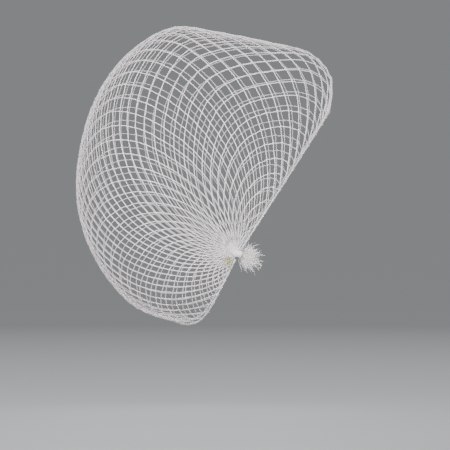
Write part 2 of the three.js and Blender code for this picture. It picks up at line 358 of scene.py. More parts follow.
def makeStudio():
    floor, steps = studio["floorRadius"], studio["floorSteps"]
    bend = studio["wallRadius"] - floor
    profile = [(studio["innerRadius"], 0.0)]
    profile += [(floor * k / steps, 0.0) for k in range(1, steps + 1)]
    for k in range(1, studio["bendSteps"] + 1):
        turn = quarter * k / studio["bendSteps"]
        profile.append((floor + bend * math.sin(turn), bend * (1 - math.cos(turn))))
    profile.append((studio["wallRadius"], studio["wallHeight"]))
    count = studio["spokes"]
    places, faces = [], []
    for radius, height in profile:
        for s in range(count):
            turn = 2 * math.pi * s / count
            level = height + studio["floorHeight"]
            places.append((radius * math.cos(turn), radius * math.sin(turn), level))
    for a in range(len(profile) - 1):
        near, far = a * count, (a + 1) * count
        for s in range(count):
            t = (s + 1) % count
            faces.append((far + s, far + t, near + t, near + s))  # facing in
    faces.append(tuple(range(count)))
    mesh = bpy.data.meshes.new("studioBowl")
    mesh.from_pydata(places, [], faces)
    mesh.polygons.foreach_set("use_smooth", [True] * len(mesh.polygons))
    mesh.materials.append(makeStudioFinish())
    mesh.update()
    link(bpy.data.objects.new("studioBowl", mesh))


makeStudio()
finishes = {
    "thread": makeThreadFinish(),
    "elastic": makeElasticFinish(),
    "tuft": makeTuftFinish(),
    "latex": makeLatexFinish(),
}
print("studio and finishes made")


# the worn form: sections through the axis that joins the gathers, in millimetres from its middle

wornForm = {
    "gatherHalfSpan": 72.0,
    "sections": [  # forward, up, fullness, swell, sweep, from the forehead edge to the nape edge
        (70.7, 107.9, 2.2, 2, 0), (72.6, 131, 2.25, 5, 0), (58, 149.5, 2.35, 10, 0),
        (22, 159.3, 2.4, 14, 0), (-14, 166.3, 2.4, 17, 0), (-47, 170, 2.4, 18, 0),
        (-79, 152.5, 2.35, 18, 0), (-104, 121, 2.3, 18, 0), (-118.5, 76, 2.25, 16, 0),
        (-119.5, 32, 2.2, 13, 0.8), (-105, -8, 2.15, 9, 3), (-78, -40, 2.1, 4, 8.5),
        (-47, -52, 2, 0, 15.5)],
    "samples": 1601,
    "sweepPower": 8,
    "axisStep": 0.004,      # for the directions on the form
    "leastTurn": 0.002,
    "closestTurn": 1e-4,    # to the gather that a knot may settle
}


def splineThrough(points, share, centripetal):
    points = np.asarray(points, float)
    last = len(points) - 1
    padded = np.vstack([2 * points[0] - points[1], points, 2 * points[-1] - points[-2]])
    span = np.clip(np.floor(share * last).astype(int), 0, last - 1)
    s = (share * last - span)[:, None]
    a, b, c, d = padded[span], padded[span + 1], padded[span + 2], padded[span + 3]
    if centripetal:
        spans = (b - a, c - b, d - c)
        ab, bc, cd = (np.linalg.norm(way, axis=1, keepdims=True) ** 0.5 for way in spans)
        leave = ((b - a) / ab - (c - a) / (ab + bc) + (c - b) / bc) * bc
        arrive = ((c - b) / bc - (d - b) / (bc + cd) + (d - c) / cd) * bc
    else:
        leave, arrive = (c - a) / 2, (d - b) / 2
    return ((2 * s**3 - 3 * s**2 + 1) * b + (s**3 - 2 * s**2 + s) * leave
            + (-2 * s**3 + 3 * s**2) * c + (s**3 - s**2) * arrive)


def tabulateForm():
    sections = np.array(wornForm["sections"], float)
    share = np.linspace(0, 1, wornForm["samples"])
    line = splineThrough(sections[:, :2], share, True)
    length = np.concatenate([[0], np.cumsum(np.linalg.norm(np.diff(line, axis=0), axis=1))])
    even = np.interp(share * length[-1], length, share)
    middle = splineThrough(sections[:, :2], even, True)
    profile = splineThrough(sections[:, 2:], even, False)
    return {
        "along": share,
        "reach": np.hypot(middle[:, 0], middle[:, 1]),
        "angle": np.arctan2(middle[:, 1], middle[:, 0]) % (2 * math.pi),
        "power": 2 / profile[:, 0],
        "swell": profile[:, 1],
        "sweep": np.radians(profile[:, 2]),
    }


formTable = tabulateForm()


def sectionAt(along):
    columns = ("reach", "angle", "power", "swell", "sweep")
    return [np.interp(along, formTable["along"], formTable[column]) for column in columns]


def sweptBy(sweep, turn):  # how far a section bends round the axis, most beside the gather
    return sweep * (1 - np.sin(turn) ** wornForm["sweepPower"])


def formPoint(along, turn):  # on the right half: turn is 0 at the gather and a quarter at the middle
    reach, angle, power, swell, sweep = sectionAt(along)
    away = reach * np.sin(turn) ** power
    heading = angle + sweptBy(sweep, turn)
    width = wornForm["gatherHalfSpan"] * np.maximum(np.cos(turn), 0) ** power + swell * np.sin(2 * turn)
    return np.stack([away * np.cos(heading), -width, away * np.sin(heading)], axis=-1)


def unit(vectors):
    return vectors / np.maximum(np.linalg.norm(vectors, axis=-1, keepdims=True), tiny)


def formAxes(along, turn):  # back over the form, across towards the middle, and out of it
    step, least = wornForm["axisStep"], wornForm["leastTurn"]
    low, high = (np.clip(along + way, 0, 1) for way in (-step, step))
    lowTurn, highTurn = (np.clip(turn + way, least, quarter) for way in (-step, step))
    back = unit(formPoint(high, turn) - formPoint(low, turn))
    across = unit(formPoint(along, highTurn) - formPoint(along, lowTurn))
    return back, across, unit(np.cross(across, back))


def headingOf(place):  # round the axis, from straight ahead over the crown
    return np.arctan2(place[:, 2], place[:, 0]) % (2 * math.pi)


def layOnForm(place, along, turn):  # where on the form a place beside it belongs
    sweep = sectionAt(along)[-1]
    along = np.interp(headingOf(place) - sweptBy(sweep, turn), formTable["angle"], formTable["along"])
    reach, _, power, swell, _ = sectionAt(along)
    beside = np.maximum(-place[:, 1] - swell * np.sin(2 * turn), 0) / wornForm["gatherHalfSpan"]
    away = np.hypot(place[:, 0], place[:, 2])
    turn = np.arctan2((away / reach) ** (1 / power), beside ** (1 / power))
    return along, np.clip(turn, wornForm["closestTurn"], quarter)


# the netting: knots settle on the worn form with even thread between them

netting = {
    "rows": 58,              # knots from gather to gather
    "columns": 60,           # half diamonds from the forehead edge to the nape edge
    "mesh": 9.1,             # thread from knot to knot
    "meshShare": (           # of that, from forehead to nape
        [0, 0.04, 0.08, 0.7, 1], [0.55, 0.8, 0.97, 0.98, 0.8]),
    "crowdRows": (           # and out from the gather
        [0, 6, 12, 16, 23, 29], [0.2, 0.24, 0.4, 0.8, 0.85, 0.95]),
    "crowdShare": (          # which is felt behind the gathers
        [0.5, 0.8], [0, 1]),
    "unevenness": 0.03,
    "fan": (                 # heading of the threads as they leave the gather, in degrees
        [0, 0.107, 0.207, 0.322, 0.455, 0.588, 0.722, 0.822, 0.905, 1],
        [56.8, 80, 100, 120, 140, 160, 180, 200, 220, 242.5]),
    "startCrowding": 1.15,   # of the rows towards the gather, before they settle
    "startTurn": 0.004,
    "gatherTurn": 0.006,     # where the end knots are held
    "rounds": 700,
    "pull": 1.35,
    "push": 0.2,             # of a slack thread, beside the pull of a tight one
    "smooth": 0.16,
    "guide": 0.05,
    "guidePower": 4,         # how fast the guide fades away from the gather
    "seed": 2,
    "threadSeed": 11,
    "threadRadius": 0.28,
    "thickSpread": (0.9, 1.1),
    "neckThick": 0.7,
    "crossing": 0.17,        # how far each of two crossing threads lies off the other
    "wander": 0.28,
    "drawnThin": (           # threads pull thin towards the gathers
        [0, 2, 5, 9], [0.55, 0.65, 0.82, 1.0]),
    "bunch": 0.9,            # degrees by which the threads lean together in bunches beside the gathers
    "bunchRows": ([0, 3, 7], [1, 1, 0]),
    "bunchWaves": [          # bunches from edge to edge, phase, share
        (6, 0.4, 0.5), (11, 2.1, 0.6), (17, 4.2, 0.4)],
    "sides": 6,
    "steps": 2,
}
rowCount, columnCount = netting["rows"], netting["columns"]
halfRows = rowCount // 2


def meshThreads(number):  # pairs of knots with thread between them, and threes that follow one thread
    pairs, threes = [], []
    for slant in (1, -1):
        for i in range(halfRows):
            for j in range(columnCount + 1):
                if (i + j) % 2 or not 0 <= j + slant <= columnCount:
                    continue
                ahead = number[i + 1, j + slant]
                pairs.append((number[i, j], ahead))
                if i > 0 and 0 <= j - slant <= columnCount:
                    threes.append((number[i - 1, j - slant], number[i, j], ahead))
    return np.array(pairs), np.array(threes)


def restLengths(pairs, rows, share):
    placed = share[pairs].mean(axis=1)
    crowd = np.interp(rows[pairs].mean(axis=1), *netting["crowdRows"]) - 1
    rest = netting["mesh"] * np.interp(placed, *netting["meshShare"])
    rest = rest * (1 + crowd * np.interp(placed, *netting["crowdShare"]))
    chance = np.random.default_rng(netting["seed"])
    return (rest * (1 + netting["unevenness"] * chance.standard_normal(len(pairs))))[:, None]


def settleNetting():
    rowOf, columnOf = np.meshgrid(np.arange(halfRows + 1), np.arange(columnCount + 1), indexing="ij")
    tied = (rowOf + columnOf) % 2 == 0
    number = np.arange(rowOf.size).reshape(rowOf.shape)
    pairs, threes = meshThreads(number)
    meets = np.maximum(np.bincount(pairs.ravel(), minlength=rowOf.size), 1)[:, None]
    passes = np.maximum(np.bincount(threes[:, 1], minlength=rowOf.size), 1)[:, None]
    share = (columnOf / columnCount).ravel()
    rest = restLengths(pairs, rowOf.ravel(), share)
    fan = np.radians(np.interp(share, *netting["fan"]))
    gather, middle = number[0][tied[0]], number[halfRows][tied[halfRows]]
    front, nape = number[:, 0][tied[:, 0]], number[:, columnCount][tied[:, columnCount]]
    gathered = formPoint(np.linspace(0, 1, len(gather)), np.full(len(gather), netting["gatherTurn"]))
    along = share.copy()
    turn = 1 - (1 - rowOf / halfRows) ** netting["startCrowding"]
    turn = np.maximum(turn, netting["startTurn"]).ravel() * quarter
    place = formPoint(along, turn)
    for _ in range(netting["rounds"]):
        span = place[pairs[:, 1]] - place[pairs[:, 0]]
        length = np.maximum(np.linalg.norm(span, axis=1, keepdims=True), tiny)
        spare = length - rest
        spare = np.where(spare > 0, spare, netting["push"] * spare)
        pull = 0.5 * spare / length * span  # half at each end
        moved, eased = np.zeros_like(place), np.zeros_like(place)
        np.add.at(moved, pairs[:, 0], pull)
        np.add.at(moved, pairs[:, 1], -pull)
        between = (place[threes[:, 0]] + place[threes[:, 2]]) / 2
        np.add.at(eased, threes[:, 1], between - place[threes[:, 1]])
        place = place + netting["pull"] * moved / meets + netting["smooth"] * eased / passes
        place[gather] = gathered
        place[middle, 1] = 0
        along, turn = layOnForm(place, along, turn)
        guided = netting["guide"] * np.cos(turn) ** netting["guidePower"] * (fan - headingOf(place))
        angle = np.interp(along, formTable["along"], formTable["angle"]) + guided
        along = np.interp(angle, formTable["angle"], formTable["along"])
        along[front], along[nape], turn[middle] = 0, 1, quarter
        place = formPoint(along, turn)
        place[gather] = gathered
    return place.reshape(*rowOf.shape, 3), along.reshape(rowOf.shape), turn.reshape(rowOf.shape)


gatherForm = {
    "bundlePlace": 72.8,       # from the middle
    "dip": 0.24,               # of the bundle's axis, which points ahead
    "entry": (2.2, 2.3),       # how far ahead or behind threads come in, and how far from the axis
    "leastOut": -0.3,          # how far a thread may come in on the inner side
    "neckRun": (               # places on the axis, and how far off it the threads run
        [1.9, 3.7, 5.6], [2.2, 1.95, 1.5]),
    "core": (                  # places on the axis, and the radius of the bunched strands
        [-2.6, -1.0, 1.2, 3.2, 5.0], [1.3, 1.9, 1.9, 1.7, 1.5]),
    "corePoints": 11,
    "coreStrands": 22,
    "coreRadius": 0.4,
    "coreSides": 6,
    "steps": 2,
    "thickSpread": (0.85, 1.15),
    "depthSpread": (0.8, 1.3),   # of a strand's middle below the surface, in its radii
    "leastReach": 0.15,
    "angleSpread": 0.06,
    "twist": (0.9, 6.0),       # radians in this length
    "wraps": 3,
    "wrapPoints": 12,          # in each turn
    "wrapSpan": (2.7, 3.7),
    "wrapLift": 0.3,
    "wrapRadius": 0.26,
    "seed": 21,
}
edgeElastic = {
    "aside": 1.2,              # from the netting's edge to the elastic's middle
    "webReach": 10.0,          # from the axis to its first row
    "rows": 14,
    "rowStep": 0.125,
    "crowding": 1.2,           # of the rows towards the gathers
    "endRow": -0.75,           # how far it runs on, towards the eye in the gather
    "eyeRadius": 2.6,
    "coreRadius": 0.42,
    "coverRadius": 0.19,
    "coverLift": 0.5,          # of its own radius, off the core
    "coverPitch": 1.15,
    "coverPoints": 8,          # in each turn
    "covers": 2,
    "sides": 6,
    "steady": (0.31, 0.2, 0.93),   # a direction that no elastic takes
}


def mirrored(points):
    return points * np.array([1.0, -1.0, 1.0])


def edgeLine(along):  # an elastic's middle line from the right gather to the left one
    out = 1 if along > 0.5 else -1
    half = edgeElastic["rows"] / 2
    step = edgeElastic["rowStep"]
    rows = np.arange(edgeElastic["endRow"], half + step / 2, step)
    reach, _, power, _, _ = sectionAt(np.array([along]))
    first = np.arcsin((edgeElastic["webReach"] / reach) ** (1 / power))
    turn = first + (quarter - first) * (1 - (1 - np.maximum(rows, 0) / half) ** edgeElastic["crowding"])
    at = np.full(len(rows), float(along))
    place = formPoint(at, turn)
    for k in np.nonzero(rows < 0)[0]:  # from the first row into the gather
        flat = place[k] * np.array([1, 0, 1])
        eye = unit(flat) * edgeElastic["eyeRadius"] + np.array([0, -gatherForm["bundlePlace"], 0])
        place[k] = place[k] + (eye - place[k]) * -rows[k]
    place = place + edgeAside(at, turn, out) * edgeElastic["aside"]
    return np.vstack([place, mirrored(place[:-1][::-1])])


def edgeAside(along, turn, out):  # square to the edge and along the form
    back, across, _ = formAxes(along, turn)
    return out * unit(back - across * np.sum(back * across, axis=-1, keepdims=True))


place, along, turn = settleNetting()
outAxis = formAxes(along, turn)[-1]


def seatEdges():  # the knots of both edges sit on the elastics
    for column, out in ((0, -1), (columnCount, 1)):
        aside = edgeAside(along[:, column], turn[:, column], out)
        place[:, column] = place[:, column] + aside * edgeElastic["aside"]


def bunchThreads():  # turns the knots round the gather, most in the rows next to it
    share = np.linspace(0, 1, columnCount + 1)
    lean = 0
    for count, phase, part in netting["bunchWaves"]:
        lean = lean + part * np.sin(2 * math.pi * count * share + phase)
    lean = math.radians(netting["bunch"]) * lean * np.sin(math.pi * share)
    for i in range(1, halfRows):
        turned = lean * np.interp(i, *netting["bunchRows"])
        x, z = place[i, :, 0].copy(), place[i, :, 2].copy()
        place[i, :, 0] = x * np.cos(turned) - z * np.sin(turned)
        place[i, :, 2] = x * np.sin(turned) + z * np.cos(turned)


def gatherAxes(side):  # ahead, up and out at a gather, and the middle of its bundle
    ahead = unit(np.array([1.0, 0.0, -gatherForm["dip"]]))
    up = unit(np.array([gatherForm["dip"], 0.0, 1.0]))
    out = np.array([0.0, side, 0.0])
    return ahead, up, out, out * gatherForm["bundlePlace"]


def drawThreadsIn():  # seats the end knots at the right bundle and runs each thread through its neck
    ahead, up, out, middle = gatherAxes(-1)
    come, reach = gatherForm["entry"]
    runs = {}
    for j in range(0, columnCount + 1, 2):
        beside = place[1, [max(j - 1, 1), min(j + 1, columnCount - 1)]].mean(axis=0)
        heading = math.atan2(beside @ up, beside @ ahead) % (2 * math.pi)
        outward = max(-math.cos(heading), gatherForm["leastOut"])
        spoke = unit(math.sin(heading) * up + outward * out)
        place[0, j] = middle + come * math.cos(heading) * ahead + reach * spoke
        outAxis[0, j] = spoke
        runs[j] = [middle + at * ahead + r * spoke for at, r in zip(*gatherForm["neckRun"])]
    return runs


seatEdges()
bunchThreads()
drawnIn = drawThreadsIn()


def knotAt(i, j):
    return place[i, j] if i <= halfRows else mirrored(place[rowCount - i, j])


def outAt(i, j):
    return outAxis[i, j] if i <= halfRows else mirrored(outAxis[rowCount - i, j])


print("netting settled,", rowCount, "by", columnCount)


# tubes along guide lines, and copies at points: Geometry Nodes, made plain meshes

class NodeTree:
    def __init__(self, name, inputs):
        self.tree = bpy.data.node_groups.new(name, "GeometryNodeTree")
        self.key = {}
        self.tree.interface.new_socket("Geometry", in_out="INPUT", socket_type="NodeSocketGeometry")
        for label, kind in inputs.items():
            kind = "NodeSocket" + kind
            socket = self.tree.interface.new_socket(label, in_out="INPUT", socket_type=kind)
            self.key[label] = socket.identifier
        self.tree.interface.new_socket("Geometry", in_out="OUTPUT", socket_type="NodeSocketGeometry")
        self.given = self.tree.nodes.new("NodeGroupInput").outputs

    def node(self, kind, settings=None, sockets=None, out=0):
        made = self.tree.nodes.new(kind)
        for label, value in (settings or {}).items():
            setattr(made, label, value)
        for label, value in (sockets or {}).items():
            socket = made.inputs[label]
            if isinstance(value, bpy.types.NodeSocket):
                self.tree.links.new(value, socket)
            else:
                socket.default_value = value
        return made.outputs[out]

    def finish(self, geometry):
        solid = self.node("GeometryNodeRealizeInstances", {}, {"Geometry": geometry})
        dressed = self.node("GeometryNodeSetMaterial", {}, {
            "Geometry": solid, "Material": self.given["Material"]})
        end = self.tree.nodes.new("NodeGroupOutput")
        self.tree.links.new(dressed, end.inputs["Geometry"])
        return self


def makeTubeTree():
    tubes = NodeTree("tubesAlongLines", {
        "Radius": "Float", "Sides": "Int", "Steps": "Int", "Material": "Material"})
    given = tubes.given
    lines = tubes.node("GeometryNodeMeshToCurve", {}, {"Mesh": given["Geometry"]})
    lines = tubes.node("GeometryNodeCurveSplineType", {"spline_type": "CATMULL_ROM"}, {"Curve": lines})
    lines = tubes.node("GeometryNodeSetSplineResolution", {}, {
        "Geometry": lines, "Resolution": given["Steps"]})
    length = tubes.node("GeometryNodeSplineParameter", out="Length")
    lines = tubes.node("GeometryNodeStoreNamedAttribute", {"data_type": "FLOAT", "domain": "POINT"}, {
        "Geometry": lines, "Name": "along", "Value": length})  # for the finishes
    ring = tubes.node("GeometryNodeCurvePrimitiveCircle", {"mode": "RADIUS"}, {
        "Resolution": given["Sides"], "Radius": given["Radius"]})
    spot = tubes.node("GeometryNodeInputPosition")
    outward = tubes.node("ShaderNodeVectorMath", {"operation": "NORMALIZE"}, {0: spot})
    kept = {"data_type": "FLOAT_VECTOR", "domain": "POINT"}
    ring = tubes.node("GeometryNodeStoreNamedAttribute", kept, {
        "Geometry": ring, "Name": "rim", "Value": outward})
    thick = tubes.node("GeometryNodeInputNamedAttribute", {"data_type": "FLOAT"}, {"Name": "thick"})
    skin = tubes.node("GeometryNodeCurveToMesh", {}, {
        "Curve": lines, "Profile Curve": ring, "Scale": thick, "Fill Caps": True})
    return tubes.finish(tubes.node("GeometryNodeSetShadeSmooth", {}, {"Geometry": skin}))


def makeCopyTree():
    copies = NodeTree("copiesAtPoints", {"Shape": "Object", "Material": "Material"})
    given = copies.given
    shape = copies.node("GeometryNodeObjectInfo", {}, {"Object": given["Shape"]}, out="Geometry")
    outward, lengthwise = (
        copies.node("GeometryNodeInputNamedAttribute", {"data_type": "FLOAT_VECTOR"}, {"Name": name})
        for name in ("outward", "lengthwise"))
    thick = copies.node("GeometryNodeInputNamedAttribute", {"data_type": "FLOAT"}, {"Name": "thick"})
    turned = copies.node("FunctionNodeAxesToRotation", {"primary_axis": "Z", "secondary_axis": "X"}, {
        "Primary Axis": outward, "Secondary Axis": lengthwise})
    placed = copies.node("GeometryNodeInstanceOnPoints", {}, {
        "Points": given["Geometry"], "Instance": shape, "Rotation": turned, "Scale": thick})
    solid = copies.node("GeometryNodeRealizeInstances", {}, {"Geometry": placed})
    return copies.finish(copies.node("GeometryNodeSetShadeSmooth", {}, {"Geometry": solid}))


tubeTree, copyTree = makeTubeTree(), makeCopyTree()


def grow(name, guide, tree, inputs):
    piece = link(bpy.data.objects.new(name, guide))
    maker = piece.modifiers.new("maker", "NODES")
    maker.node_group = tree.tree
    for label, value in inputs.items():
        maker[tree.key[label]] = value
    view = bpy.context.evaluated_depsgraph_get()
    shaped = piece.evaluated_get(view)
    mesh = bpy.data.meshes.new_from_object(shaped, preserve_all_data_layers=True, depsgraph=view)
    piece.modifiers.clear()
    piece.data = mesh
    mesh.name = name
    bpy.data.meshes.remove(guide)
    return piece


def dress(piece, slot, *nodes):
    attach(piece, "root")
    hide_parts(*nodes)
    piece.data.calc_loop_triangles()
    print(f"{piece.name}: {len(piece.data.loop_triangles)} triangles")
    return piece


def setAttribute(mesh, name, kind, values):
    field = "vector" if kind == "FLOAT_VECTOR" else "value"
    made = mesh.attributes.new(name, kind, "POINT")
    made.data.foreach_set(field, np.asarray(values, float).ravel())


def tubesFrom(name, lines, finish, radius, sides, steps=1):  # lines: places, thickness share, mark
    places = np.vstack([line[0] for line in lines])
    edges, start = [], 0
    for line in lines:
        edges += [(start + k, start + k + 1) for k in range(len(line[0]) - 1)]
        start += len(line[0])
    guide = bpy.data.meshes.new(name + "Guide")
    guide.from_pydata((places + gatherMiddle) * mm, edges, [])
    for label, k in (("thick", 1), ("mark", 2)):
        values = [np.broadcast_to(line[k], len(line[0])) for line in lines]
        setAttribute(guide, label, "FLOAT", np.concatenate(values))
    return grow(name, guide, tubeTree, {
        "Radius": radius * mm, "Sides": sides, "Steps": steps, "Material": finishes[finish]})


def copiesFrom(name, shape, finish, places, outward, lengthwise, thick):
    guide = bpy.data.meshes.new(name + "Guide")
    guide.from_pydata((np.asarray(places) + gatherMiddle) * mm, [], [])
    setAttribute(guide, "outward", "FLOAT_VECTOR", outward)
    setAttribute(guide, "lengthwise", "FLOAT_VECTOR", lengthwise)
    setAttribute(guide, "thick", "FLOAT", thick)
    pattern = link(bpy.data.objects.new(name + "Shape", shape))
    piece = grow(name, guide, copyTree, {"Shape": pattern, "Material": finishes[finish]})
    bpy.data.objects.remove(pattern)
    bpy.data.meshes.remove(shape)
    return piece


# the net's threads: two families that slant opposite ways and meet in knots

def threadPath(i, j, slant):  # rows and columns of the knots that a thread passes
    path = []
    while i <= rowCount and 0 <= j <= columnCount:
        path.append((i, j))
        i, j = i + 1, j + slant
    return path


def threadLine(path, slant, chance):
    off = slant * netting["crossing"]
    spots = np.array([knotAt(i, j) + outAt(i, j) * off for i, j in path])
    stray = netting["wander"] * chance.uniform(-1, 1, (len(path) - 1, 3))
    line = np.empty((2 * len(path) - 1, 3))
    line[0::2] = spots
    line[1::2] = (spots[:-1] + spots[1:]) / 2 + stray
    drawn = np.interp([min(i, rowCount - i) for i, _ in path], *netting["drawnThin"])
    thick = np.interp(np.linspace(0, len(path) - 1, len(line)), np.arange(len(path)), drawn)
    thick = thick * chance.uniform(*netting["thickSpread"], len(line))
    neckThick = [netting["neckThick"]] * len(gatherForm["neckRun"][0])
    if path[0][0] == 0:
        line = np.vstack([drawnIn[path[0][1]][::-1], line])
        thick = np.concatenate([neckThick, thick])
    if path[-1][0] == rowCount:
        line = np.vstack([line, mirrored(np.array(drawnIn[path[-1][1]]))])
        thick = np.concatenate([thick, neckThick])
    return line, thick, chance.uniform()


def threadLines(slant, chance):
    starts = [(0, j) for j in range(0, columnCount + 1, 2)]
    starts += [(i, 0 if slant > 0 else columnCount) for i in range(2, rowCount, 2)]
    paths = [threadPath(i, j, slant) for i, j in starts]
    return [threadLine(path, slant, chance) for path in paths if len(path) > 1]


def makeNetting():
    chance = np.random.default_rng(netting["threadSeed"])
    for name, slant in (("net_threads_fore", 1), ("net_threads_aft", -1)):
        piece = tubesFrom(name, threadLines(slant, chance), "thread",
                          netting["threadRadius"], netting["sides"], netting["steps"])
        dress(piece, "thread", "net")


netKnot = {
    "length": 0.8,   # half of it
    "rings": [       # place along it, radius, turn
        (-1.0, 0.28, 0), (-0.6, 0.62, 25), (-0.14, 0.49, 50),
        (0.3, 0.64, 75), (0.7, 0.52, 100), (1.0, 0.25, 125)],
    "sides": 6,
    "ridge": 0.16,   # in and out, by turns
    "drawnSmall": (  # towards the gathers
        [2, 5, 9], [0.6, 0.8, 1.0]),
    "sizeSpread": (0.88, 1.12),
    "seed": 5,
}


def knotShape():  # a tight turned knot, lengthwise along X
    places, faces, sides = [], [], netKnot["sides"]
    for along, radius, turn in netKnot["rings"]:
        for s in range(sides):
            angle = 2 * math.pi * s / sides + math.radians(turn)
            r = radius * (1 + netKnot["ridge"] * (1 if s % 2 else -1)) * mm
            places.append((along * netKnot["length"] * mm, r * math.cos(angle), r * math.sin(angle)))
    for k in range(len(netKnot["rings"]) - 1):
        for s in range(sides):
            t = (s + 1) % sides
            faces.append((k * sides + s, k * sides + t, (k + 1) * sides + t, (k + 1) * sides + s))
    last = (len(netKnot["rings"]) - 1) * sides
    faces += [tuple(reversed(range(sides))), tuple(range(last, last + sides))]
    mesh = bpy.data.meshes.new("netKnot")
    mesh.from_pydata(places, [], faces)
    return mesh


def makeNetKnots():
    chance = np.random.default_rng(netKnot["seed"])
    spots, outs, ways, sizes = [], [], [], []
    for i in range(2, rowCount - 1):
        drawn = np.interp(min(i, rowCount - i), *netKnot["drawnSmall"])
        for j in range(1, columnCount):
            if (i + j) % 2:
                continue
            way = knotAt(i + 1, j - 1) + knotAt(i + 1, j + 1)
            way = way - knotAt(i - 1, j - 1) - knotAt(i - 1, j + 1)
            spots.append(knotAt(i, j))
            outs.append(outAt(i, j))
            ways.append(unit(way))
            sizes.append(drawn * chance.uniform(*netKnot["sizeSpread"]))
    dress(copiesFrom("net_knots", knotShape(), "thread", spots, outs, ways, sizes), "thread", "net")


makeNetting()
makeNetKnots()
print("netting made")


# the elastics: a rubber core wound with two cover threads, and the loops that hang the net on them

def helixRound(line, radius, phase):
    pitch = edgeElastic["coverPitch"]
    length = np.concatenate([[0], np.cumsum(np.linalg.norm(np.diff(line, axis=0), axis=1))])
    count = int(length[-1] / pitch * edgeElastic["coverPoints"])
    at = np.linspace(0, length[-1], count)
    spots = np.stack([np.interp(at, length, line[:, k]) for k in range(3)], axis=1)
    ahead = unit(np.gradient(spots, axis=0))
    side = unit(np.cross(ahead, np.array(edgeElastic["steady"])))
    lift = np.cross(ahead, side)
    angle = (2 * math.pi * at / pitch + phase)[:, None]
    return spots + radius * (np.cos(angle) * side + np.sin(angle) * lift)


def makeElastic(name, node, along):
    line = edgeLine(along)
    core, cover = edgeElastic["coreRadius"], edgeElastic["coverRadius"]
    lines = [(line, 1.0, 0.0)]
    for k in range(edgeElastic["covers"]):
        phase = 2 * math.pi * k / edgeElastic["covers"]
        wound = helixRound(line, core + edgeElastic["coverLift"] * cover, phase)
        lines.append((wound, cover / core, 1.0))
    dress(tubesFrom(name, lines, "elastic", core, edgeElastic["sides"]), "elastic", node)


edgeLoop = {
    "radius": 0.84,
    "strand": 0.26,
    "lean": 0.25,
    "around": 10,
    "sides": 5,
    "shift": 0.55,             # of each of two loops from its knot
    "sizeSpread": (0.94, 1.06),
    "seed": 8,
}


def loopShape():  # a ring of thread round the elastic, which runs along X
    places, faces = [], []
    around, sides, strand = edgeLoop["around"], edgeLoop["sides"], edgeLoop["strand"]
    for a in range(around):
        turn = 2 * math.pi * a / around
        for s in range(sides):
            angle = 2 * math.pi * s / sides
            r = edgeLoop["radius"] + strand * math.cos(angle)
            along = strand * math.sin(angle) + edgeLoop["lean"] * math.sin(turn)
            places.append((along * mm, r * math.cos(turn) * mm, r * math.sin(turn) * mm))
    for a in range(around):
        for s in range(sides):
            b, t = (a + 1) % around, (s + 1) % sides
            faces.append((b * sides + s, b * sides + t, a * sides + t, a * sides + s))
    mesh = bpy.data.meshes.new("edgeLoop")
    mesh.from_pydata(places, [], faces)
    return mesh


def makeEdgeLoops():
    chance = np.random.default_rng(edgeLoop["seed"])
    spots, outs, ways = [], [], []
    for j in (0, columnCount):
        for i in range(2, rowCount - 1, 2):
            run = unit(knotAt(i + 2, j) - knotAt(i - 2, j))
            for shift in (-edgeLoop["shift"], edgeLoop["shift"]):
                spots.append(knotAt(i, j) + run * shift)
                outs.append(outAt(i, j))
                ways.append(run)
    sizes = chance.uniform(*edgeLoop["sizeSpread"], len(spots))
    dress(copiesFrom("edge_loops", loopShape(), "thread", spots, outs, ways, sizes), "thread", "net")


makeElastic("front_elastic_cord", "front_elastic", 0.0)
makeElastic("nape_elastic_cord", "nape_elastic", 1.0)
makeEdgeLoops()
print("elastics made")


# the gathers: bunched strands, tied at the neck, ending in a tuft of cut ends

def makeBundle(name, side):
    chance = np.random.default_rng(gatherForm["seed"])
    ahead, up, out, middle = gatherAxes(side)
    thick = gatherForm["coreRadius"]
    stations, reach = gatherForm["core"]
    at = np.linspace(stations[0], stations[-1], gatherForm["corePoints"])
    twist, twistLength = gatherForm["twist"]
    lines = []
    for k in range(gatherForm["coreStrands"]):
        angle = 2 * math.pi * k / gatherForm["coreStrands"] + twist * at / twistLength
        angle = (angle + chance.normal(0, gatherForm["angleSpread"]))[:, None]
        r = np.interp(at, stations, reach) - thick * chance.uniform(*gatherForm["depthSpread"])
        r = np.maximum(r, gatherForm["leastReach"])[:, None]
        spots = middle + at[:, None] * ahead + r * (np.cos(angle) * up + np.sin(angle) * out)
        lines.append((spots, chance.uniform(*gatherForm["thickSpread"]), chance.uniform()))
    low, high = gatherForm["wrapSpan"]
    wraps = gatherForm["wraps"]
    turns = np.linspace(0, wraps, wraps * gatherForm["wrapPoints"])
    at = low + (high - low) * turns / wraps
    angle = (2 * math.pi * turns)[:, None]
    around = np.interp(at, *gatherForm["neckRun"])[:, None] + gatherForm["wrapLift"]
    tie = middle + at[:, None] * ahead + around * (np.cos(angle) * up + np.sin(angle) * out)
    lines.append((tie, gatherForm["wrapRadius"] / thick, 0.5))
    piece = tubesFrom(name, lines, "thread", thick, gatherForm["coreSides"], gatherForm["steps"])
    dress(piece, "thread", "net")


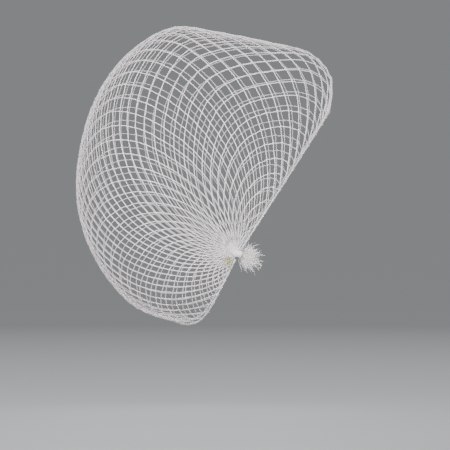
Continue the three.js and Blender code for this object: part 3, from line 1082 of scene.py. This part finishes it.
tuft = {
    "locks": [                 # turn from straight ahead, lean outward, length
        (62, 4, 11.5), (36, 8, 13.5), (12, 4, 15.5), (-12, 8, 15.5), (-34, 4, 13.5),
        (-56, 8, 11), (-80, 4, 9), (24, 38, 11), (-14, 42, 12), (-46, 38, 10.5)],
    "fibres": 24,              # in each lock
    "scatter": (13, 11),       # degrees off the lock's turn and lean
    "leastLean": -4,
    "lengthShare": (0.5, 1.02),
    "start": 3.4,              # inside the neck
    "startRadius": 1.5,
    "leave": 2.6,              # how far a fibre runs on before it bends
    "arrive": 0.45,            # share of its length that is straight at the tip
    "root": 5.95,              # from where the lock's length counts
    "tipSpread": 0.5,
    "droop": 1.6,
    "curl": 1.3,
    "crimp": 0.34,
    "crimpLength": 2.8,
    "crimpSpread": (0.75, 1.3),
    "crimpRise": (3, 0.6),     # slope and delay along the fibre
    "crossCrimp": 0.83,        # waves across for one wave up
    "fibreRadius": 0.095,
    "taper": ([0, 0.3, 0.8, 1], [1.5, 1.1, 0.9, 0.5]),
    "thickSpread": (0.8, 1.2),
    "steady": (0.2, 0.9, 0.4),   # a direction that no fibre takes
    "points": 14,
    "sides": 5,
    "steps": 2,
    "seed": 31,
}


def bendThrough(bends, share):  # a curve from the first place to the last, drawn to the two between
    rest = 1 - share
    weights = (rest ** 3, 3 * share * rest ** 2, 3 * share**2 * rest, share**3)
    return sum(weight * bend for weight, bend in zip(weights, bends))


def fibreLine(lock, axes, share, chance):
    lockTurn, lockLean, length = lock
    ahead, up, out, middle = axes
    turned = math.radians(lockTurn + chance.normal(0, tuft["scatter"][0]))
    leaned = math.radians(max(lockLean + chance.normal(0, tuft["scatter"][1]), tuft["leastLean"]))
    way = ahead * math.cos(turned) + up * math.sin(turned)
    way = way * math.cos(leaned) + out * math.sin(leaned)
    across = unit(np.cross(way, np.array(tuft["steady"])))
    lift = np.cross(way, across)
    reach = length * chance.uniform(*tuft["lengthShare"])
    angle = chance.uniform(0, 2 * math.pi)
    spread = tuft["startRadius"] * math.sqrt(chance.uniform())
    root = middle + tuft["start"] * ahead + spread * (math.cos(angle) * up + math.sin(angle) * out)
    tip = middle + tuft["root"] * ahead + reach * way + chance.normal(0, tuft["tipSpread"], 3)
    tip[2] -= tuft["droop"] * (reach / length) ** 2
    curl = tuft["curl"] * (chance.normal() * across + chance.normal() * lift)
    bends = root, root + tuft["leave"] * ahead, tip - tuft["arrive"] * reach * way + curl, tip
    line = bendThrough(bends, share)
    wave = 2 * math.pi * share * reach / tuft["crimpLength"] * chance.uniform(*tuft["crimpSpread"])
    phase = chance.uniform(0, 2 * math.pi, 2)
    slope, delay = tuft["crimpRise"]
    swing = np.sin(wave + phase[0]) * across + np.sin(wave * tuft["crossCrimp"] + phase[1]) * lift
    line = line + tuft["crimp"] * np.clip(slope * share - delay, 0, 1) * swing
    taper = np.interp(share[:, 0], *tuft["taper"])
    return line, taper * chance.uniform(*tuft["thickSpread"]), chance.uniform()


def makeTuft(name, node, side):
    chance = np.random.default_rng(tuft["seed"])
    axes = gatherAxes(side)
    share = np.linspace(0, 1, tuft["points"])[:, None]
    lines = []
    for lock in tuft["locks"]:
        lines += [fibreLine(lock, axes, share, chance) for _ in range(tuft["fibres"])]
    piece = tubesFrom(name, lines, "tuft", tuft["fibreRadius"], tuft["sides"], tuft["steps"])
    dress(piece, "tuft", node)


latexKnot = {
    "scale": 0.8,
    "strand": 0.55,
    "reach": 8.0,      # from the axis that joins the gathers
    "turn": 217,
    "lift": 3.7,       # off the gather
    "opening": 0.4,    # where the closed curve is cut
    "tail": 2.2,
    "tailBend": 0.45,
    "spread": 0.15,
    "thick": 0.95,
    "pinch": 0.12,     # where it crosses itself
    "points": 48,
    "sides": 9,
    "steps": 2,
}


def makeLatexKnot(name, node, side):  # an overhand knot with two tails
    opening, turned = latexKnot["opening"], math.radians(latexKnot["turn"])
    a = math.pi + np.linspace(opening, 2 * math.pi - opening, latexKnot["points"])
    loop = [np.sin(a) + 2 * np.sin(2 * a), -np.sin(3 * a), np.cos(a) - 2 * np.cos(2 * a)]
    loop = np.stack(loop, axis=1) * latexKnot["scale"]
    tail = np.array([0.0, 0.0, -latexKnot["tail"]])
    bend = latexKnot["tailBend"] * tail
    aside = np.array([latexKnot["spread"], 0.0, 0.0])
    first, last = loop[0], loop[-1]
    line = np.vstack([first + tail + aside, first + bend, loop, last + bend, last + tail - aside])
    middle = np.array([
        latexKnot["reach"] * math.cos(turned),
        side * (wornForm["gatherHalfSpan"] + latexKnot["lift"]),
        latexKnot["reach"] * math.sin(turned)])
    pinch = 1 - latexKnot["pinch"] * np.cos(3 * np.linspace(0, 2 * math.pi, len(line)))
    lines = [(line + middle, pinch * latexKnot["thick"], 0.5)]
    piece = tubesFrom(name, lines, "latex", latexKnot["strand"], latexKnot["sides"], latexKnot["steps"])
    dress(piece, "latex", node)


for word, side in (("right", -1), ("left", 1)):
    makeBundle(f"gather_bundle_{word}", side)
    makeTuft(f"tuft_fibres_{word}", f"tuft_{word}", side)
    makeLatexKnot(f"latex_knot_{word}", f"elastic_knot_{word}", side)
print("gathers made")
